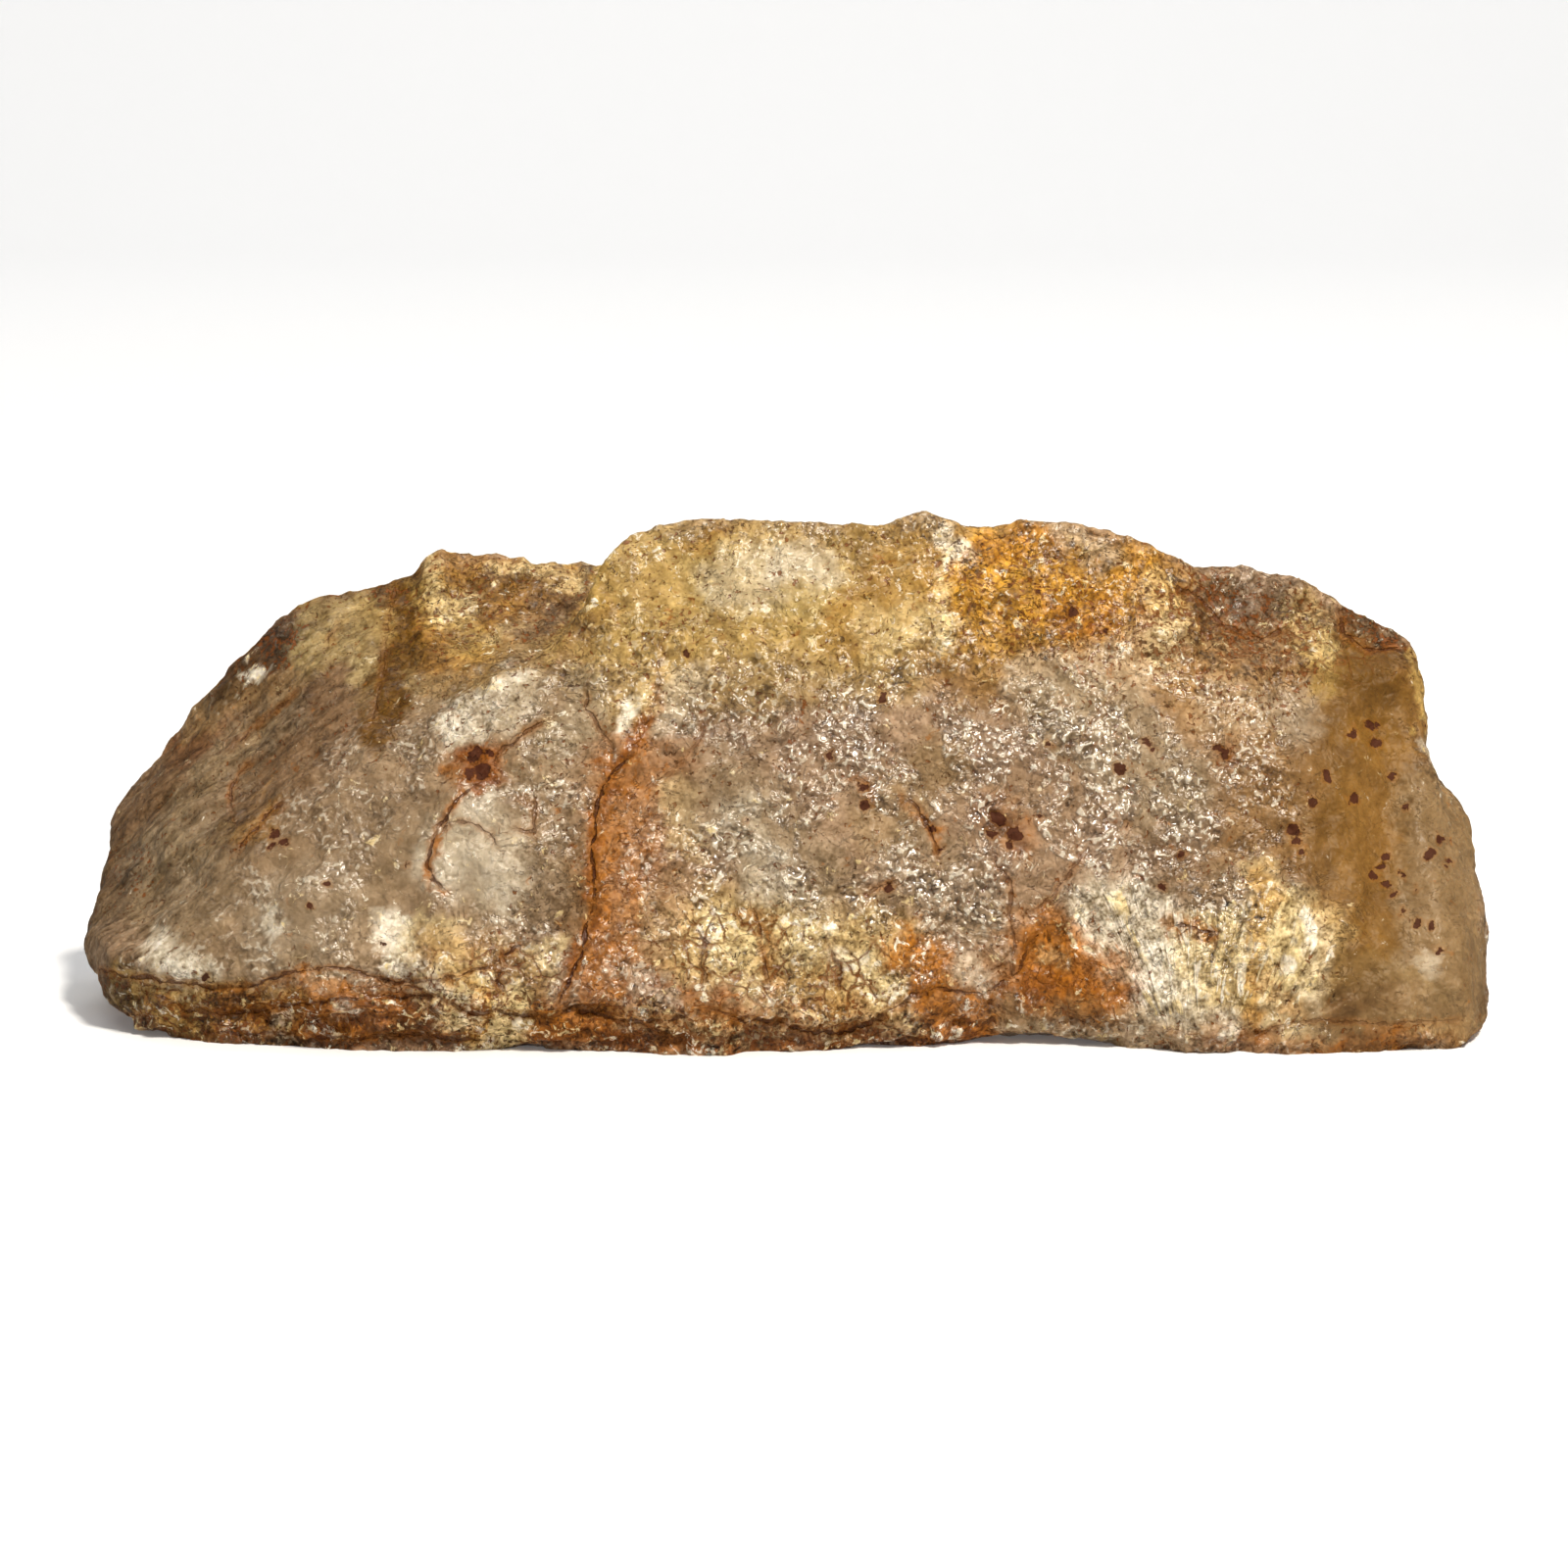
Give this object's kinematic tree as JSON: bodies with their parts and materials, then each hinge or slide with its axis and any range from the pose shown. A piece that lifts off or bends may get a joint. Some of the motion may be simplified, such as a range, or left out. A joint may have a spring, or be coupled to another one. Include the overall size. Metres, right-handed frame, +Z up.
{
  "type": "faced agate rough",
  "caption": "Rough, broken chunk of plume agate: one solid stone with a flat sawn face behind, a leaning natural front and a natural flat underneath to rest on.",
  "frame": {"origin": "centre of the stone's footprint box, on the surface that it rests on", "axes": "+X along the stone's length, to the right as the natural front is seen; +Y out of the sawn face, away from the front; +Z up"},
  "size_m": [0.1514, 0.042, 0.0537],
  "materials": {
    "agate": "broken, waxy to glassy, slightly translucent"
  },
  "bodies": {
    "root": {"agate_stone": "agate"}
  },
  "joints": []
}
